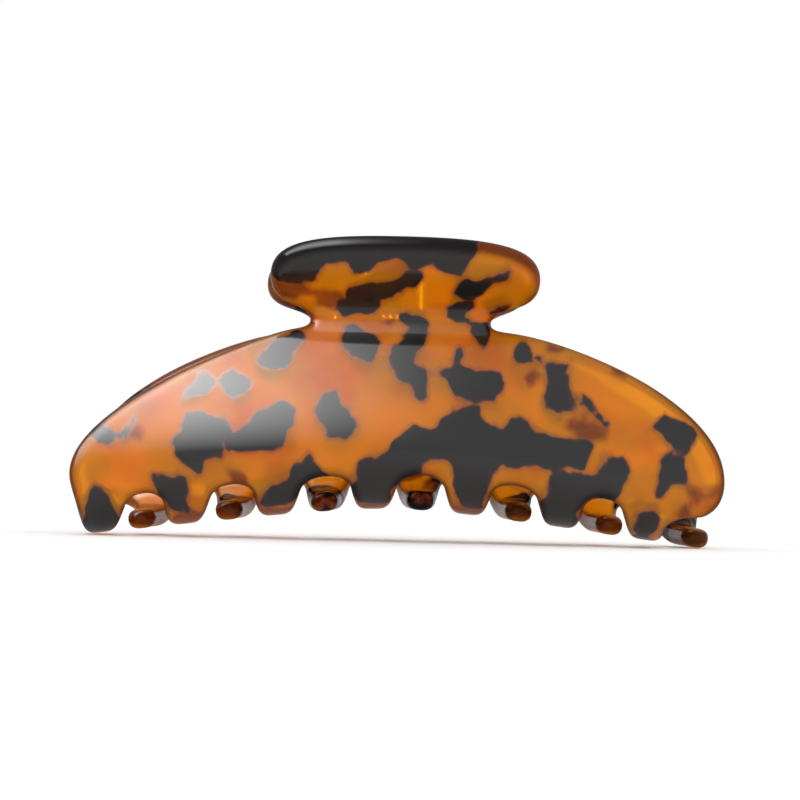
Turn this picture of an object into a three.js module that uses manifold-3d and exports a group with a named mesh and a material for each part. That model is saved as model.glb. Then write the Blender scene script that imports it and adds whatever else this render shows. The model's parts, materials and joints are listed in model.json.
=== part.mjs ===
// Claw hair clip: two identical bent acetate halves, hinged back to back on a
// steel pin and held shut by a torsion spring. Millimetres, +Z up. X runs along
// the clip, Y through it, and the front half is on the -Y side.
import * as THREE from "three";
import Module from "manifold-3d";
import { mergeVertices } from "three/addons/utils/BufferGeometryUtils.js";

// ---- the acetate sheet
const SHEET = 3.4; // thickness
const EDGE = 0.85; // tumbled edge, drawn as one flat chamfer
const COLUMN = 6.5; // width of the facets across the arched jaw
const HINGE_Z = 38.0; // height of the pin axis above the table

// The bent section of one half, as cubic B-spline poles [y, z] from above the
// handle, through the waist at the hinge and round the jaw to past the tips.
const SECTION = [
  [-24.9, 59.6],
  [-19.9, 54.4],
  [-14.9, 49.2],
  [-9.9, 44.0],
  [-4.6, 38.6],
  [-7.9, 33.2],
  [-11.3, 27.4],
  [-14.6, 21.0],
  [-15.9, 14.4],
  [-13.6, 9.3],
  [-8.6, 7.1],
  [-2.4, 7.4],
  [7.0, 7.2],
  [17.0, 6.8],
];

// The comb follows an arch: away from the middle the lower jaw drops.
const ARCH_DROP = 1.568;
const ARCH_WIDTH = 12;
const ARCH_TOP = 28; // section height where the drop begins
const ARCH_FULL = 12; // section height where it is complete

// ---- outline of one half, seen from the front
const HANDLE_TOP = 51.3;
const HANDLE_MIDDLE = 0.4; // the handle sits a little off centre
const HANDLE_RIGHT = [23.6, 45.0];
const HANDLE_LEFT = [-22.5, 45.2];
const WAIST_RIGHT = [15.5, 38.3];
const WAIST_LEFT = [-15.6, 38.3];
const JAW_RIGHT = [55.3, 12.2];
const JAW_LEFT = [-55.5, 10.6];

// ---- the comb, in the flat sheet
const TEETH = [-50.0, -35.6, -20.4, -4.0, 12.0, 27.8, 42.3]; // tooth centres
const GAP_TOP = 11.8; // section height of the top of the gaps
const GAP_ROUND = 2.2; // depth of the rounded top of a gap
const ROOT_HALF = 4.0; // half width of a tooth at its root
const TIP_HALF = 2.35; // half width at its round tip
const TIP_Y = 6.2; // how far the tips reach past the centre plane
const TIP_SPREAD = 1.035; // the teeth fan out a little

// ---- hinge
const BAR_HALF = 10.7; // half length of a glued hinge bar
const KNUCKLE = 2.7; // knuckle radius
const CLEAR = 3.0; // radius kept free around the other half's knuckles
const HINGE_GAP = 0.3;
const BAR_TOP = 3.9; // bar height above the axis
const BAR_OPEN = 37; // degrees from upright left free for the squeeze
const BAR_FOOT = 122; // degrees from upright where the bar ends below
const OUTER_KNUCKLE = [7.4, 10.7];
const INNER_KNUCKLE = [4.5, 7.1];
const PIN = 1.0; // pin radius
const PIN_HOLE = 1.3;
const PIN_HEAD = 1.7;
const PIN_HEAD_THICK = 0.7;

// ---- spring
const WIRE = 0.45; // wire radius
const COIL = 1.75; // coil centre-line radius
const COIL_TURNS = 6; // whole turns, besides the part turn between the legs
const COIL_HALF = 3.78; // half length of the coiled part
const LEG = 11.5; // length of a leg from the coil
const LEG_LEAN = 35; // degrees from upright
const BEND = 0.9; // the legs end in a small bend
const FOOT = 2.4; // and a foot outwards along X
const FOOT_LEAN = 0.22; // the foot leans towards the handle it rests on

const wasm = await Module();
wasm.setup();

// ------------------------------------------------------------ bent section
const section = [];
for (let i = 0; i + 3 < SECTION.length; i += 1) {
  for (let j = 0; j < 60; j += 1) {
    const t = j / 60;
    const w = [
      (1 - t) ** 3 / 6,
      (3 * t ** 3 - 6 * t ** 2 + 4) / 6,
      (-3 * t ** 3 + 3 * t ** 2 + 3 * t + 1) / 6,
      t ** 3 / 6,
    ];
    const y = w.reduce((sum, weight, k) => sum + weight * SECTION[i + k][0], 0);
    const z = w.reduce((sum, weight, k) => sum + weight * SECTION[i + k][1], 0);
    const last = section[section.length - 1];
    const s = last ? last.s + Math.hypot(y - last.y, z - last.z) : 0;
    section.push({ y, z, s });
  }
}
const SHEET_END = section[section.length - 1].s;

// Point of the section at the distance s from its top end.
function sectionAt(s) {
  let low = 0;
  let high = section.length - 1;
  while (high - low > 1) {
    const middle = (low + high) >> 1;
    if (section[middle].s <= s) low = middle;
    else high = middle;
  }
  const t = (s - section[low].s) / (section[high].s - section[low].s);
  return {
    y: THREE.MathUtils.lerp(section[low].y, section[high].y, t),
    z: THREE.MathUtils.lerp(section[low].z, section[high].z, t),
  };
}

// Where the middle of the sheet lies for the flat-sheet point (x, s).
function middleOfSheet(x, s) {
  const at = sectionAt(s);
  const share = 1 - THREE.MathUtils.smoothstep(at.z, ARCH_FULL, ARCH_TOP);
  const drop = ARCH_DROP * (Math.sqrt(1 + (x / ARCH_WIDTH) ** 2) - 1);
  return new THREE.Vector3(x, at.y, at.z - drop * share);
}

// The point w above the middle of the sheet (w > 0 is the outer face).
function onSheet(x, s, w) {
  const step = 0.05;
  const across = middleOfSheet(x + step, s).sub(middleOfSheet(x - step, s));
  const along = middleOfSheet(x, s + step).sub(middleOfSheet(x, s - step));
  const normal = along.cross(across).normalize();
  return middleOfSheet(x, s).addScaledVector(normal, w);
}

// The flat-sheet distance s at which the sheet stands at the height z.
function flatFromHeight(x, z) {
  let low = 0.2;
  let high = SHEET_END * 0.82;
  for (let i = 0; i < 40; i += 1) {
    const middle = (low + high) / 2;
    if (middleOfSheet(x, middle).z > z) low = middle;
    else high = middle;
  }
  return (low + high) / 2;
}

function flatFromSection(test) {
  return section.find(test).s;
}

// ---------------------------------------------------------------- outline
// Upper edges are drawn as seen from the front and laid flat point by point.
function laidFlat(curve, count) {
  return curve.getPoints(count).map((p) => new THREE.Vector2(p.x, flatFromHeight(p.x, p.y)));
}

function bezier(a, b, c, d) {
  return new THREE.CubicBezierCurve(
    new THREE.Vector2(...a),
    new THREE.Vector2(...b),
    new THREE.Vector2(...c),
    new THREE.Vector2(...d),
  );
}

function outlineOfHalf() {
  const top = [HANDLE_MIDDLE, HANDLE_TOP];
  const points = [];
  const add = (list) => list.forEach((p) => {
    const last = points[points.length - 1];
    if (!last || last.distanceTo(p) > 0.05) points.push(p);
  });
  // right side: handle, waist, upper edge of the jaw and its rounded end
  add(laidFlat(bezier(top, [14, HANDLE_TOP], [HANDLE_RIGHT[0], 50.5], HANDLE_RIGHT), 9));
  add(laidFlat(bezier(HANDLE_RIGHT, [23.6, 40.2], [16.6, 41.2], WAIST_RIGHT), 8));
  add(laidFlat(bezier(WAIST_RIGHT, [14.7, 36.2], [17.4, 36.4], [20.4, 35.9]), 6));
  add(laidFlat(bezier([20.4, 35.9], [30.0, 34.2], [54.4, 25.2], JAW_RIGHT), 12));
  add(laidFlat(bezier(JAW_RIGHT, [55.5, 9.2], [54.6, 6.6], [51.6, 5.7]), 6));

  // the comb, from right to left
  const root = flatFromSection((p) => p.z < GAP_TOP && p.y < -10);
  const tip = flatFromSection((p) => p.y > TIP_Y);
  const shoulder = root + GAP_ROUND;
  const roundStart = tip - TIP_HALF;
  for (let i = TEETH.length - 1; i >= 0; i -= 1) {
    const middle = TEETH[i];
    const tipMiddle = middle * TIP_SPREAD;
    const right = new THREE.Vector2(middle + ROOT_HALF, shoulder);
    const left = new THREE.Vector2(middle - ROOT_HALF, shoulder);
    const tipRight = new THREE.Vector2(tipMiddle + TIP_HALF, roundStart);
    const tipLeft = new THREE.Vector2(tipMiddle - TIP_HALF, roundStart);
    const waistRight = new THREE.Vector2((right.x + tipRight.x) / 2 - 0.5, shoulder + 6);
    const waistLeft = new THREE.Vector2((left.x + tipLeft.x) / 2 + 0.5, shoulder + 6);
    if (i === TEETH.length - 1) {
      // the open end: the corner of the jaw sweeps down into the last tooth
      const from = points[points.length - 1];
      const start = new THREE.Vector2(middle + ROOT_HALF - 0.4, shoulder + 1.6);
      const bend = new THREE.Vector2(middle + ROOT_HALF + 0.6, shoulder - 1.0);
      add(new THREE.QuadraticBezierCurve(from, bend, start).getPoints(5));
      add(new THREE.QuadraticBezierCurve(start, waistRight, tipRight).getPoints(4));
    } else {
      add(new THREE.QuadraticBezierCurve(right, waistRight, tipRight).getPoints(4));
    }
    const round = new THREE.EllipseCurve(tipMiddle, roundStart, TIP_HALF, TIP_HALF, 0, Math.PI);
    add(round.getPoints(6));
    if (i > 0) {
      add(new THREE.QuadraticBezierCurve(tipLeft, waistLeft, left).getPoints(4));
      const next = new THREE.Vector2(TEETH[i - 1] + ROOT_HALF, shoulder);
      const lift = root - GAP_ROUND / 3;
      const a = new THREE.Vector2(left.x - 0.2, lift);
      const b = new THREE.Vector2(next.x + 0.2, lift);
      add(new THREE.CubicBezierCurve(left, a, b, next).getPoints(7));
    } else {
      // the first tooth's outer flank runs straight up into the end of the jaw
      const end = laidFlat(bezier([-55.0, 8.0], [-55.3, 9.0], [-55.5, 9.8], JAW_LEFT), 3);
      const bend = new THREE.Vector2(-52.4, shoulder + 3);
      add(new THREE.QuadraticBezierCurve(tipLeft, bend, end[0]).getPoints(6));
      add(end);
    }
  }

  // left side, back up to the top of the handle
  add(laidFlat(bezier(JAW_LEFT, [-55.2, 21.4], [-28.5, 32.6], [-20.4, 35.4]), 12));
  add(laidFlat(bezier([-20.4, 35.4], [-17.4, 36.4], [-14.8, 36.2], WAIST_LEFT), 6));
  add(laidFlat(bezier(WAIST_LEFT, [-16.7, 41.2], [-22.5, 40.4], HANDLE_LEFT), 8));
  add(laidFlat(bezier(HANDLE_LEFT, [-22.5, 50.5], [-13.2, HANDLE_TOP], top), 9));
  points.pop();
  return points;
}

// The outline moved inwards by a distance.
function insetOutline(points, distance) {
  return points.map((p, i) => {
    const before = points[(i + points.length - 1) % points.length];
    const after = points[(i + 1) % points.length];
    const way = after.clone().sub(before).normalize();
    return new THREE.Vector2(p.x - way.y * distance, p.y + way.x * distance);
  });
}

// --------------------------------------------------------- bent sheet solid
// Cuts across the sheet, close together where it bends hard.
function bendLevels(from, to) {
  const heading = (s) => {
    const a = sectionAt(s);
    const b = sectionAt(s + 0.25);
    return Math.atan2(b.y - a.y, b.z - a.z);
  };
  const levels = [];
  let last = from;
  for (let s = from; s < to; s += 0.25) {
    const change = heading(s) - heading(last);
    const turned = Math.abs(Math.atan2(Math.sin(change), Math.cos(change)));
    if (turned > 0.2 || s - last > 4.2) {
      levels.push(s + 0.0137);
      last = s;
    }
  }
  return levels;
}

// Cuts a closed outline along the lines key = level into its pieces. The points
// on the lines are already in the outline. Extra points can be put in between
// two of them on a line.
function cutIntoBands(outline, key, levels, between) {
  const other = key === "s" ? "x" : "s";
  const count = outline.length;
  const band = (i) => {
    const middle = (outline[i][key] + outline[(i + 1) % count][key]) / 2;
    return levels.filter((level) => level < middle).length;
  };
  const partner = new Map();
  levels.forEach((level) => {
    const on = [];
    outline.forEach((p, i) => {
      if (p[key] === level) on.push(i);
    });
    on.sort((i, j) => outline[i][other] - outline[j][other]);
    for (let k = 0; k + 1 < on.length; k += 2) {
      partner.set(on[k], on[k + 1]);
      partner.set(on[k + 1], on[k]);
    }
  });
  const used = new Set();
  const pieces = [];
  for (let first = 0; first < count; first += 1) {
    if (used.has(first)) continue;
    const piece = [];
    const mine = band(first);
    let i = first;
    do {
      used.add(i);
      piece.push(outline[i]);
      const end = (i + 1) % count;
      if (band(end) === mine) {
        i = end;
      } else {
        const to = partner.get(end);
        piece.push(outline[end], ...between(outline[end], outline[to]));
        i = to;
      }
    } while (i !== first);
    pieces.push(piece);
  }
  return pieces;
}

// The outline with a point added wherever it crosses one of the lines.
function withCrossings(outline, key, levels, wanted) {
  const other = key === "s" ? "x" : "s";
  const points = [];
  outline.forEach((p, i) => {
    const q = outline[(i + 1) % outline.length];
    points.push(p);
    levels
      .map((level) => ({ level, t: (level - p[key]) / (q[key] - p[key]) }))
      .filter(({ t }) => t > 0 && t < 1)
      .sort((a, b) => a.t - b.t)
      .forEach(({ level, t }) => {
        const cross = {
          [key]: level,
          [other]: THREE.MathUtils.lerp(p[other], q[other], t),
          ox: THREE.MathUtils.lerp(p.ox, q.ox, t),
          os: THREE.MathUtils.lerp(p.os, q.os, t),
        };
        if (wanted(cross)) points.push(cross);
      });
  });
  return points;
}

function bentSheet() {
  const outer = outlineOfHalf();
  if (THREE.ShapeUtils.area(outer) < 0) outer.reverse();
  const inner = insetOutline(outer, EDGE);
  const heights = outer.map((p) => p.y);
  const levels = bendLevels(Math.min(...heights) + 1.5, Math.max(...heights) - 0.8);
  const columns = [];
  for (let x = -52.03; x < 53; x += COLUMN) columns.push(x);
  const arched = levels.find((s) => sectionAt(s).z < ARCH_TOP);
  const start = inner.map((p, i) => ({ x: p.x, s: p.y, ox: outer[i].x, os: outer[i].y }));
  const banded = withCrossings(start, "s", levels, () => true);
  const rim = withCrossings(banded, "x", columns, (p) => p.s > arched);
  const count = rim.length;

  // bands along the sheet, and columns across it where it is arched
  const gridPoints = (from, to) => {
    if (from.s < arched) return [];
    const [low, high] = [Math.min(from.x, to.x), Math.max(from.x, to.x)];
    const on = columns.filter((x) => x > low && x < high).map((x) => ({ x, s: from.s }));
    return from.x < to.x ? on : on.reverse();
  };
  const flat = [];
  cutIntoBands(rim, "s", levels, gridPoints).forEach((piece) => {
    const middle = piece.reduce((sum, p) => sum + p.s, 0) / piece.length;
    const cells = middle > arched ? cutIntoBands(piece, "x", columns, () => []) : [piece];
    cells.forEach((cell) => {
      // straight sides are bowed out a little, so that no three points line up
      const xs = cell.map((p) => p.x);
      const ss = cell.map((p) => p.s);
      const [x0, x1] = [Math.min(...xs), Math.max(...xs)];
      const [s0, s1] = [Math.min(...ss), Math.max(...ss)];
      const contour = cell.map((p) => {
        const u = (p.x - x0) / (x1 - x0);
        const v = (p.s - s0) / (s1 - s0);
        return new THREE.Vector2(
          p.x + (u - 0.5) * 0.02 * v * (1 - v),
          p.s + (v - 0.5) * 0.02 * u * (1 - u),
        );
      });
      THREE.ShapeUtils.triangulateShape(contour, []).forEach((t) => {
        flat.push(t.map((k) => cell[k]));
      });
    });
  });

  const positions = [];
  const triangle = (a, b, c) => [a, b, c].forEach((p) => positions.push(p.x, p.y, p.z));
  const cache = new Map();
  const face = (p, w) => {
    const key = `${p.x},${p.s},${w}`;
    if (!cache.has(key)) cache.set(key, onSheet(p.x, p.s, w));
    return cache.get(key);
  };
  const half = SHEET / 2;
  flat.forEach(([a, b, c]) => {
    triangle(face(a, half), face(c, half), face(b, half));
    triangle(face(a, -half), face(b, -half), face(c, -half));
  });
  // chamfer, edge wall, chamfer
  rim.forEach((p, i) => {
    const q = rim[(i + 1) % count];
    const op = { x: p.ox, s: p.os };
    const oq = { x: q.ox, s: q.os };
    const strips = [
      [face(p, half), face(q, half), face(op, half - EDGE), face(oq, half - EDGE)],
      [face(op, half - EDGE), face(oq, half - EDGE), face(op, EDGE - half), face(oq, EDGE - half)],
      [face(op, EDGE - half), face(oq, EDGE - half), face(p, -half), face(q, -half)],
    ];
    strips.forEach(([a, b, c, d]) => {
      triangle(a, b, c);
      triangle(b, d, c);
    });
  });
  return closedGeometry(positions);
}

// Merges shared points and turns the faces outwards.
function closedGeometry(positions) {
  const geometry = new THREE.BufferGeometry();
  geometry.setAttribute("position", new THREE.Float32BufferAttribute(positions, 3));
  const merged = mergeVertices(geometry, 1e-4);
  const p = merged.getAttribute("position");
  const index = merged.getIndex();
  const [a, b, c] = [new THREE.Vector3(), new THREE.Vector3(), new THREE.Vector3()];
  let volume = 0;
  for (let i = 0; i < index.count; i += 3) {
    a.fromBufferAttribute(p, index.getX(i));
    b.fromBufferAttribute(p, index.getX(i + 1));
    c.fromBufferAttribute(p, index.getX(i + 2));
    volume += a.dot(b.cross(c)) / 6;
  }
  if (volume < 0) {
    for (let i = 0; i < index.count; i += 3) {
      const keep = index.getX(i);
      index.setX(i, index.getX(i + 1));
      index.setX(i + 1, keep);
    }
  }
  return merged;
}

// ------------------------------------------------------------ solids to join
function solid(geometry) {
  const bare = geometry.clone();
  bare.deleteAttribute("normal");
  bare.deleteAttribute("uv");
  const merged = mergeVertices(bare, 1e-4);
  return new wasm.Manifold(new wasm.Mesh({
    numProp: 3,
    vertProperties: new Float32Array(merged.getAttribute("position").array),
    triVerts: new Uint32Array(merged.getIndex().array),
  }));
}

function geometryOf(manifold) {
  const mesh = manifold.getMesh();
  const geometry = new THREE.BufferGeometry();
  geometry.setAttribute("position", new THREE.Float32BufferAttribute(mesh.vertProperties, 3));
  geometry.setIndex(new THREE.BufferAttribute(mesh.triVerts, 1));
  return geometry;
}

// A shape drawn in (y, z) and extruded along X from one x to another.
function alongX(shape, from, to, segments = 12) {
  const geometry = new THREE.ExtrudeGeometry(shape, {
    depth: to - from,
    bevelEnabled: false,
    curveSegments: segments,
  });
  const turn = new THREE.Matrix4().makeBasis(
    new THREE.Vector3(0, 1, 0),
    new THREE.Vector3(0, 0, 1),
    new THREE.Vector3(1, 0, 0),
  );
  geometry.applyMatrix4(turn);
  geometry.translate(from, 0, 0);
  return geometry;
}

// ------------------------------------------------------------- hinge bar
// Point at the angle (degrees from upright towards the front) and radius.
function polar(angle, radius) {
  const a = THREE.MathUtils.degToRad(angle);
  return new THREE.Vector2(-radius * Math.sin(a), HINGE_Z + radius * Math.cos(a));
}

// The flat-sheet distance at which the bar's back face stands at the height z.
function glueLine(z) {
  let low = 5;
  let high = flatFromSection((p) => p.z < ARCH_TOP);
  for (let i = 0; i < 30; i += 1) {
    const middle = (low + high) / 2;
    if (onSheet(0, middle, -SHEET / 2 - HINGE_GAP).z > z) low = middle;
    else high = middle;
  }
  return (low + high) / 2;
}

// The bar's section: it follows the inner face of the sheet and stops short of
// the radius given around the pin. The start angle says how high it reaches.
function barSection(radius, startAngle) {
  const points = [];
  const top = startAngle < 60 ? BAR_TOP : null;
  if (top !== null) {
    const a = THREE.MathUtils.degToRad(startAngle);
    points.push(new THREE.Vector2(-top * Math.tan(a), HINGE_Z + top));
  }
  for (let k = 0; k <= 8; k += 1) {
    points.push(polar(THREE.MathUtils.lerp(startAngle, BAR_FOOT, k / 8), radius));
  }
  const foot = points[points.length - 1];
  const from = glueLine(foot.y - 1.6);
  const to = glueLine(top !== null ? HINGE_Z + top : HINGE_Z + 0.4);
  const steps = 6;
  for (let k = 0; k <= steps; k += 1) {
    const p = onSheet(0, THREE.MathUtils.lerp(from, to, k / steps), -SHEET / 2 - HINGE_GAP);
    points.push(new THREE.Vector2(p.y, p.z));
  }
  return new THREE.Shape(points);
}

function hingeBar() {
  const [innerFrom, innerTo] = INNER_KNUCKLE;
  const [outerFrom, outerTo] = OUTER_KNUCKLE;
  const disc = new THREE.Shape().absarc(0, HINGE_Z, KNUCKLE, 0, Math.PI * 2);
  const parts = [
    alongX(barSection(CLEAR, BAR_OPEN), -BAR_HALF, -innerFrom),
    alongX(barSection(CLEAR, BAR_OPEN), innerFrom, BAR_HALF),
    alongX(barSection(CLEAR, 84), -innerFrom - 0.5, innerFrom + 0.5),
    alongX(disc, -outerTo, -outerFrom),
    alongX(disc, innerFrom, innerTo),
    alongX(barSection(1.8, BAR_OPEN + 1), -outerTo, -outerFrom),
    alongX(barSection(1.8, BAR_OPEN + 1), innerFrom, innerTo),
  ];
  const hole = new THREE.Shape().absarc(0, HINGE_Z, PIN_HOLE, 0, Math.PI * 2);
  return geometryOf(
    parts
      .map(solid)
      .reduce((all, one) => all.add(one))
      .subtract(solid(alongX(hole, -BAR_HALF - 2, BAR_HALF + 2, 10))),
  );
}

// ------------------------------------------------------------------- pin
function pinGeometry() {
  const end = BAR_HALF + 0.35;
  const head = end + PIN_HEAD_THICK;
  const profile = [
    [0, -head],
    [PIN_HEAD - 0.45, -head],
    [PIN_HEAD - 0.1, -head + 0.2],
    [PIN_HEAD, -head + 0.45],
    [PIN_HEAD, -end],
    [PIN, -end],
    [PIN, end],
    [PIN_HEAD - 0.2, end],
    [PIN_HEAD - 0.25, end + 0.3],
    [PIN_HEAD - 0.6, head],
    [0, head],
  ].map(([r, x]) => new THREE.Vector2(r, x));
  const geometry = new THREE.LatheGeometry(profile, 24);
  geometry.rotateZ(-Math.PI / 2);
  return geometry;
}

// ---------------------------------------------------------------- spring
// The coil about the pin axis, from where the front leg is tangent to it on the
// front side to where the rear leg is tangent to it on the rear side.
class Coil extends THREE.Curve {
  getPoint(t) {
    const lean = THREE.MathUtils.degToRad(LEG_LEAN);
    const sweep = Math.PI * (2 * COIL_TURNS + 1) - 2 * lean;
    const angle = Math.PI + lean + t * sweep;
    return new THREE.Vector3(
      -COIL_HALF + t * COIL_HALF * 2,
      COIL * Math.cos(angle),
      COIL * Math.sin(angle),
    );
  }
}

// One wire: foot, leg, coils, leg, foot.
function springGeometry() {
  const coil = new Coil();
  const lean = THREE.MathUtils.degToRad(LEG_LEAN);
  const path = new THREE.CurvePath();
  const frontWay = new THREE.Vector3(0, -Math.sin(lean), Math.cos(lean));
  const rearWay = new THREE.Vector3(0, Math.sin(lean), Math.cos(lean));
  const frontOut = new THREE.Vector3(-1, -FOOT_LEAN * Math.cos(lean), -FOOT_LEAN * Math.sin(lean));
  const rearOut = new THREE.Vector3(1, FOOT_LEAN * Math.cos(lean), -FOOT_LEAN * Math.sin(lean));
  const leg = (from, way, out) => {
    const knee = from.clone().addScaledVector(way, LEG);
    const bend = knee.clone().addScaledVector(way, -BEND);
    const turned = knee.clone().addScaledVector(out, BEND);
    const tip = knee.clone().addScaledVector(out, FOOT);
    return [from, bend, knee, turned, tip];
  };
  const front = leg(coil.getPoint(0), frontWay, frontOut.normalize());
  const rear = leg(coil.getPoint(1), rearWay, rearOut.normalize());
  path.add(new THREE.LineCurve3(front[4], front[3]));
  path.add(new THREE.QuadraticBezierCurve3(front[3], front[2], front[1]));
  path.add(new THREE.LineCurve3(front[1], front[0]));
  path.add(coil);
  path.add(new THREE.LineCurve3(rear[0], rear[1]));
  path.add(new THREE.QuadraticBezierCurve3(rear[1], rear[2], rear[3]));
  path.add(new THREE.LineCurve3(rear[3], rear[4]));
  const wire = new THREE.Shape().absarc(0, 0, WIRE, 0, Math.PI * 2);
  return new THREE.ExtrudeGeometry(wire, {
    extrudePath: path,
    steps: 150,
    curveSegments: 3,
    bevelEnabled: false,
  });
}

// ----------------------------------------------------------------- assembly
function material(name, color, roughness, metalness) {
  return new THREE.MeshStandardMaterial({ name, color, roughness, metalness });
}

const acetate = () => material("tortoiseshell_acetate", 0xc87414, 0.18, 0);
const amber = () => material("amber_acetate", 0xcf7d16, 0.22, 0);
const steel = () => material("steel", 0xb9bcc2, 0.3, 1);

function named(name, geometry, look) {
  geometry.computeVertexNormals();
  const mesh = new THREE.Mesh(geometry, look);
  mesh.name = name;
  return mesh;
}

const clip = new THREE.Group();
clip.name = "claw_clip";

const frontHalf = new THREE.Group();
frontHalf.add(named("front_jaw", bentSheet(), acetate()));
frontHalf.add(named("front_hinge_bar", hingeBar(), amber()));
clip.add(frontHalf);

const rearHalf = new THREE.Group();
rearHalf.rotation.z = Math.PI;
rearHalf.add(named("rear_jaw", bentSheet(), acetate()));
rearHalf.add(named("rear_hinge_bar", hingeBar(), amber()));
clip.add(rearHalf);

const pin = named("hinge_pin", pinGeometry(), steel());
pin.position.z = HINGE_Z;
clip.add(pin);

const spring = named("torsion_spring", springGeometry(), steel());
spring.position.z = HINGE_Z;
clip.add(spring);

export default clip;
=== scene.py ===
"""Looks for the tortoiseshell claw clip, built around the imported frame.

Lengths are written in millimetres and turned into metres where a mesh is made.
The sheet of each half is described flat, by x along the clip and s down the
bent section from the top of the handle, and then bent.
"""

import json
import math
import random

import bmesh
import bpy
import numpy as np
from mathutils import Matrix, Vector
from mathutils.geometry import delaunay_2d_cdt

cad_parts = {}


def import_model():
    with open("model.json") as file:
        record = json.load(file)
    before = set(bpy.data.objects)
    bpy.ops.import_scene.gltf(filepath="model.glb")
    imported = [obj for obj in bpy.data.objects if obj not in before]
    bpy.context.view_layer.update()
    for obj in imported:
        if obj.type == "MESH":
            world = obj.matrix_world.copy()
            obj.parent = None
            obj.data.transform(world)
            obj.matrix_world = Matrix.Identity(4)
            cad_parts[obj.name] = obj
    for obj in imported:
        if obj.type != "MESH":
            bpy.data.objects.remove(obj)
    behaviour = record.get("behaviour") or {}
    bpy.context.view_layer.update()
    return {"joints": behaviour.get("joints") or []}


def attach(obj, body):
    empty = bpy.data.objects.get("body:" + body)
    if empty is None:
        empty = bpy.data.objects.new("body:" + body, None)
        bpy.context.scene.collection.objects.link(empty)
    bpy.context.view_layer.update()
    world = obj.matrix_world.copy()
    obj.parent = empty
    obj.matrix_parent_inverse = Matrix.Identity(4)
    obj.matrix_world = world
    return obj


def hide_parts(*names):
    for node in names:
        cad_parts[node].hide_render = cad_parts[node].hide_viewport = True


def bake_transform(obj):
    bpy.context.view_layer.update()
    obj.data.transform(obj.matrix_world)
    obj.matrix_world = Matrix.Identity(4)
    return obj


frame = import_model()
MM = 0.001

# ------------------------------------------------------------- dimensions
SHEET = 3.4
EDGE_DEPTH = 2.0  # how far in from the outline the tumbled edge reaches
EDGE_POWER = 2.35  # 2 is a half-round edge, more is squarer
EDGE_RINGS = 8
OUTLINE_STEP = 0.5
OUTLINE_EASING = 3
GRID = 0.95
GRID_ROW = 0.866  # row height of a grid of equal triangles
GRID_CLEAR = 0.55  # nearest that a grid point comes to the edge ring
JOIN = 1e-7

SECTION = [
    (-24.9, 59.6),
    (-19.9, 54.4),
    (-14.9, 49.2),
    (-9.9, 44.0),
    (-4.6, 38.6),
    (-7.9, 33.2),
    (-11.3, 27.4),
    (-14.6, 21.0),
    (-15.9, 14.4),
    (-13.6, 9.3),
    (-8.6, 7.1),
    (-2.4, 7.4),
    (7.0, 7.2),
    (17.0, 6.8),
]
ARCH_DROP = 1.568
ARCH_WIDTH = 12
ARCH_TOP = 28
ARCH_FULL = 12

HANDLE_TOP = 51.3
HANDLE_MIDDLE = 0.4
HANDLE_RIGHT = (23.6, 45.0)
HANDLE_LEFT = (-22.5, 45.2)
WAIST_RIGHT = (15.5, 38.3)
WAIST_LEFT = (-15.6, 38.3)
SHOULDER_RIGHT = (20.4, 35.9)
SHOULDER_LEFT = (-20.4, 35.4)
JAW_RIGHT = (55.3, 12.2)
JAW_LEFT = (-55.5, 10.6)
JAW_DEPTH = -10  # the jaw's lower part is in front of this y, and the teeth are behind it

TEETH = (-50.0, -35.6, -20.4, -4.0, 12.0, 27.8, 42.3)
GAP_TOP = 11.8
GAP_ROUND = 2.2
ROOT_HALF = 4.0
TIP_HALF = 2.35
TIP_Y = 6.2
TIP_SPREAD = 1.035
TOOTH_WAIST = 6  # distance down a tooth at which its sides bow in
TOOTH_BOW = 0.5

HINGE_Z = frame["joints"][0]["pos_m"][2] / MM

# ------------------------------------------------------------ bent section
SPAN_STEPS = 60
SEARCH_START = 0.2
SEARCH_END = 0.82  # share of the section searched, to where it has turned under
SEARCH_ROUNDS = 40
SLOPE_STEP = 0.12  # half the distance over which the surface's slope is taken


def section_table():
    """Points (s, y, z) of the section's middle line."""
    poles = np.array(SECTION)
    rows = []
    for i in range(len(poles) - 3):
        for j in range(SPAN_STEPS):
            t = j / SPAN_STEPS
            w = np.array(
                [(1 - t) ** 3, 3 * t**3 - 6 * t**2 + 4, -3 * t**3 + 3 * t**2 + 3 * t + 1, t**3]
            )
            rows.append(w @ poles[i : i + 4] / 6)
    yz = np.array(rows)
    steps = np.linalg.norm(np.diff(yz, axis=0), axis=1)
    return np.concatenate([[0], np.cumsum(steps)]), yz[:, 0], yz[:, 1]


SEC_S, SEC_Y, SEC_Z = section_table()


def middle_of_sheet(x, s):
    """Points on the sheet's middle surface, arched along x below the shoulder."""
    y = np.interp(s, SEC_S, SEC_Y)
    z = np.interp(s, SEC_S, SEC_Z)
    t = np.clip((z - ARCH_FULL) / (ARCH_TOP - ARCH_FULL), 0, 1)
    share = 1 - t * t * (3 - 2 * t)
    drop = ARCH_DROP * (np.sqrt(1 + (x / ARCH_WIDTH) ** 2) - 1)
    return np.stack([x, y, z - drop * share], axis=-1)


def on_sheet(x, s, w):
    """Points w above the sheet's middle; w > 0 is the outer face."""
    across = middle_of_sheet(x + SLOPE_STEP, s) - middle_of_sheet(x - SLOPE_STEP, s)
    along = middle_of_sheet(x, s + SLOPE_STEP) - middle_of_sheet(x, s - SLOPE_STEP)
    normal = np.cross(along, across)
    normal /= np.linalg.norm(normal, axis=1)[:, None]
    return middle_of_sheet(x, s) + normal * w[:, None]


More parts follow.
